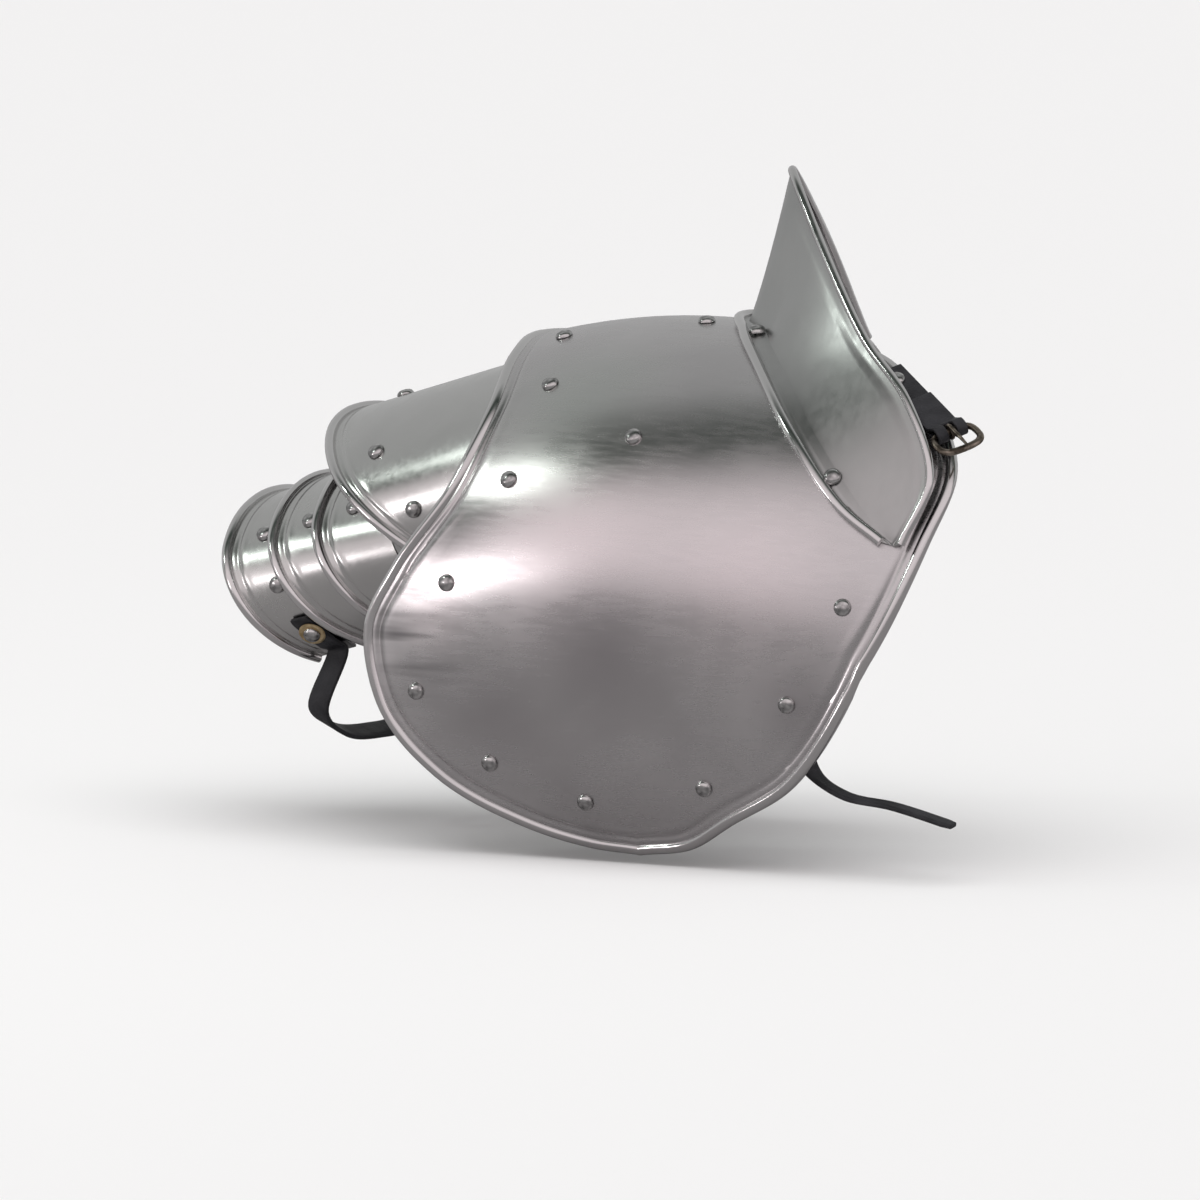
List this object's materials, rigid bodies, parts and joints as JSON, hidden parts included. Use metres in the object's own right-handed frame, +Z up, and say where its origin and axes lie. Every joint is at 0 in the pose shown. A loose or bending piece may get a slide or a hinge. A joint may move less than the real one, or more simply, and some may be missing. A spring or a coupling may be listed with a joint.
{
  "type": "plate-armour pauldron",
  "caption": "Steel shoulder guard with a domed main plate, a standing neck guard, articulated upper-arm plates, leather straps and a buckle.",
  "frame": {"origin": "the inside of the crown above the shoulder joint, where the plate rests on the shoulder", "axes": "+X towards the neck, -X along the arm, -Y to the front, +Z up"},
  "size_m": [0.4087, 0.2267, 0.3024],
  "materials": {
    "plate_steel": "satin polished, with fine brushing",
    "rivet_steel": "polished",
    "washer_brass": "satin",
    "buckle_bronze": "dark antique",
    "strap_leather": "black, smooth",
    "internal_leather": "black"
  },
  "bodies": {
    "main_plate": {"haute_rivet_rear": "rivet_steel", "haute_rivet_crest": "rivet_steel", "haute_rivet_front": "rivet_steel", "main_rivet_front": "rivet_steel", "main_leather_front": "internal_leather", "main_rivet_crest": "rivet_steel", "main_leather_crest": "internal_leather", "main_rivet_rear": "rivet_steel", "main_leather_rear": "internal_leather", "neck_strap_rivet": "rivet_steel", "neck_strap": "strap_leather", "body_strap_rivet": "rivet_steel", "body_strap": "strap_leather", "main_plate": "plate_steel", "haute_piece": "plate_steel"},
    "lame_1": {"lame_1_rivet_front": "rivet_steel", "lame_1_leather_front": "internal_leather", "lame_1_rivet_crest": "rivet_steel", "lame_1_leather_crest": "internal_leather", "lame_1_rivet_rear": "rivet_steel", "lame_1_leather_rear": "internal_leather", "lame_1": "plate_steel"},
    "lame_2": {"lame_2_rivet_front": "rivet_steel", "lame_2_leather_front": "internal_leather", "lame_2_rivet_crest": "rivet_steel", "lame_2_leather_crest": "internal_leather", "lame_2_rivet_rear": "rivet_steel", "lame_2_leather_rear": "internal_leather", "lame_2": "plate_steel"},
    "lame_3": {"lame_3_rivet_front": "rivet_steel", "lame_3_leather_front": "internal_leather", "lame_3_rivet_crest": "rivet_steel", "lame_3_leather_crest": "internal_leather", "lame_3_rivet_rear": "rivet_steel", "lame_3_leather_rear": "internal_leather", "lame_3": "plate_steel"},
    "lame_4": {"arm_strap_washer_front": "washer_brass", "arm_strap_rivet_front": "rivet_steel", "arm_strap_washer_rear": "washer_brass", "arm_strap_rivet_rear": "rivet_steel", "arm_strap": "strap_leather", "lame_4_rivet_front": "rivet_steel", "lame_4_leather_front": "internal_leather", "lame_4_rivet_crest": "rivet_steel", "lame_4_leather_crest": "internal_leather", "lame_4_rivet_rear": "rivet_steel", "lame_4_leather_rear": "internal_leather", "lame_4": "plate_steel"},
    "buckle_frame": {"buckle_frame": "buckle_bronze"},
    "buckle_tongue": {"buckle_tongue": "buckle_bronze"}
  },
  "joints": [
    {"name": "lame_1_hinge", "type": "hinge", "parent": "main_plate", "child": "lame_1", "pos_m": [-0.05982, 0, -0.09027], "axis": [0, 1, 0], "range_deg": [-7, 12]},
    {"name": "lame_2_hinge", "type": "hinge", "parent": "lame_1", "child": "lame_2", "pos_m": [-0.11137, 0, -0.11091], "axis": [0, 1, 0], "range_deg": [-4, 8]},
    {"name": "lame_3_hinge", "type": "hinge", "parent": "lame_2", "child": "lame_3", "pos_m": [-0.13657, 0, -0.11721], "axis": [0, 1, 0], "range_deg": [-3, 4]},
    {"name": "lame_4_hinge", "type": "hinge", "parent": "lame_3", "child": "lame_4", "pos_m": [-0.16277, 0, -0.12371], "axis": [0, 1, 0], "range_deg": [-1.5, 6]},
    {"name": "buckle_hinge", "type": "hinge", "parent": "main_plate", "child": "buckle_frame", "pos_m": [0.19059, -0.05486, -0.03626], "axis": [-0.532, -0.7849, -0.3175], "range_deg": [-10, 50]},
    {"name": "buckle_tongue_hinge", "type": "hinge", "parent": "buckle_frame", "child": "buckle_tongue", "pos_m": [0.19059, -0.05486, -0.03626], "axis": [-0.532, -0.7849, -0.3175], "range_deg": [0, 45]}
  ]
}
